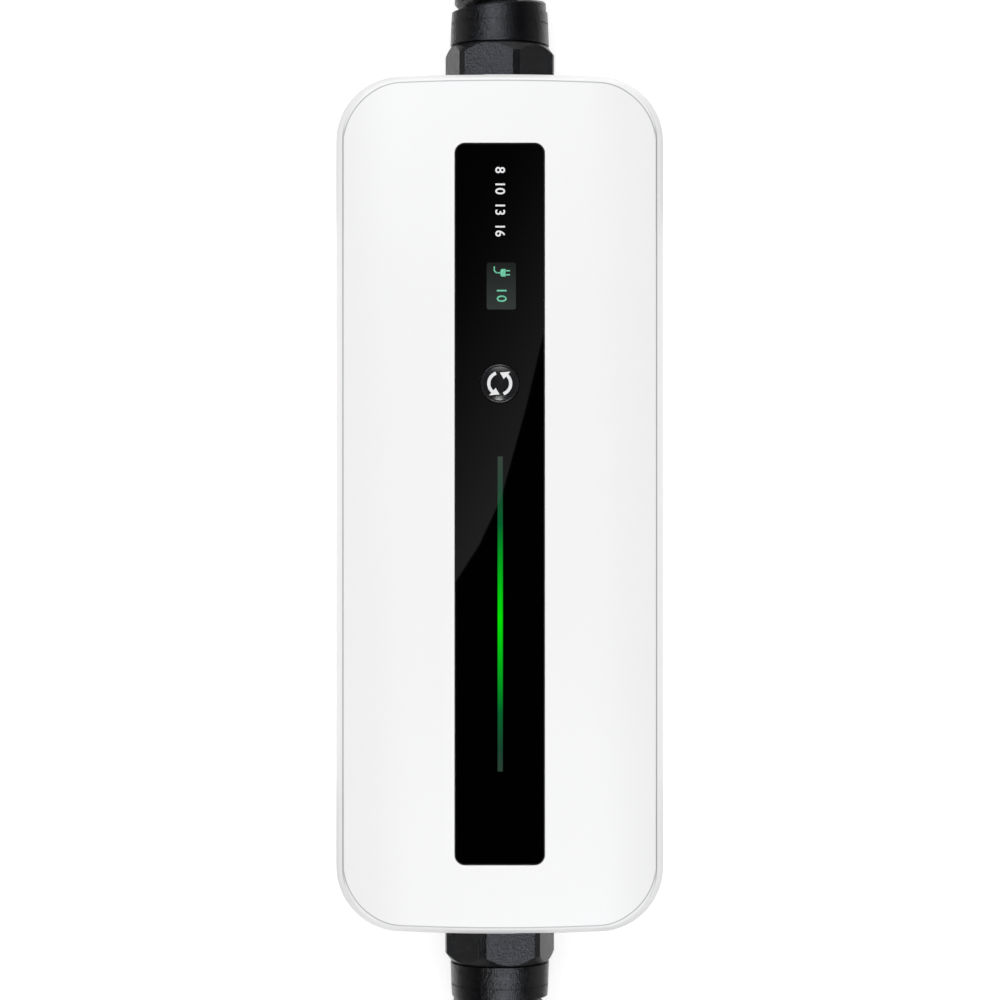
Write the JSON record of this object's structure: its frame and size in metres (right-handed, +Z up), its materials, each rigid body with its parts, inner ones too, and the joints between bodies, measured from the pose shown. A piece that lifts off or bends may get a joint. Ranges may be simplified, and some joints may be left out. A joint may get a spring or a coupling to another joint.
{
  "type": "portable electric vehicle charger",
  "caption": "Portable charging box for electric vehicles: long rounded case with a dark display strip and push button, glands with spiral strain reliefs, mains plug and vehicle connector.",
  "frame": {"origin": "middle of the surface that the box lies on, under the centre of its case and glands", "axes": "+Z up out of the display face, +Y along the case towards the mains lead, +X across the case"},
  "size_m": [0.1371, 0.7921, 0.113],
  "materials": {
    "case_white": "fine satin",
    "seal_rubber": "matte",
    "lens_black": "polished",
    "button_grey": "satin",
    "component_black": "matte",
    "guide_clear": "polished",
    "led_green": "gloss",
    "screen_dark": "gloss",
    "board_green": "solder mask",
    "screw_steel": "zinc",
    "component_yellow": "satin",
    "capacitor_can": "sleeved",
    "fuse_ceramic": "glazed",
    "component_blue": "epoxy coated",
    "header_white": "satin",
    "ribbon_grey": "matte",
    "terminal_green": "satin",
    "core_insulation": "satin",
    "gland_grey": "fine grain",
    "gland_rubber": "fine grain",
    "cable_black": "satin",
    "plug_black": "satin",
    "connector_black": "fine grain",
    "insert_grey": "satin",
    "contact_metal": "nickel plated",
    "strap_black": "hook and loop tape"
  },
  "bodies": {
    "charger": {"board_ribbon": "ribbon_grey", "bulk_capacitor": "capacitor_can", "button_boot": "seal_rubber", "button_switch": "component_black", "connector_boot": "gland_rubber", "connector_contacts": "contact_metal", "connector_grip_lower": "connector_black", "connector_grip_upper": "connector_black", "connector_insert": "insert_grey", "connector_nose": "connector_black", "control_board": "board_green", "control_board_screws": "screw_steel", "control_header": "header_white", "controller_chip": "component_black", "display_lens": "lens_black", "film_capacitor": "component_yellow", "front_cover": "case_white", "fuse": "fuse_ceramic", "hank_ties": "strap_black", "housing_screws": "screw_steel", "leakage_sensor": "component_black", "led_row": "led_green", "light_guide": "guide_clear", "mains_bend_protector": "gland_rubber", "mains_cable": "cable_black", "mains_cable_end": "cable_black", "mains_cores": "core_insulation", "mains_gland_body": "gland_grey", "mains_gland_insert": "seal_rubber", "mains_gland_locknut": "gland_grey", "mains_gland_washer": "seal_rubber", "mains_plug": "plug_black", "mains_terminals": "terminal_green", "plug_earth_clips": "contact_metal", "plug_pins": "contact_metal", "power_board": "board_green", "power_board_screws": "screw_steel", "power_header": "header_white", "rear_shell": "case_white", "relay_line": "component_black", "relay_neutral": "component_black", "screen_module": "screen_dark", "seam_gasket": "seal_rubber", "supply_module": "component_black", "varistors": "component_blue", "vehicle_bend_protector": "gland_rubber", "vehicle_cable": "cable_black", "vehicle_cable_end": "cable_black", "vehicle_cable_tail": "cable_black", "vehicle_cores": "core_insulation", "vehicle_gland_body": "gland_grey", "vehicle_gland_insert": "seal_rubber", "vehicle_gland_locknut": "gland_grey", "vehicle_gland_washer": "seal_rubber", "vehicle_hank": "cable_black", "vehicle_terminals": "terminal_green"},
    "button": {"mode_button": "button_grey"}
  },
  "joints": [
    {"name": "button_press", "type": "slide", "parent": "charger", "child": "button", "axis": [0, 0, -1], "range_m": [0, 0.0008], "stiffness_N_per_m": 1500, "springref_m": -0.0004}
  ]
}
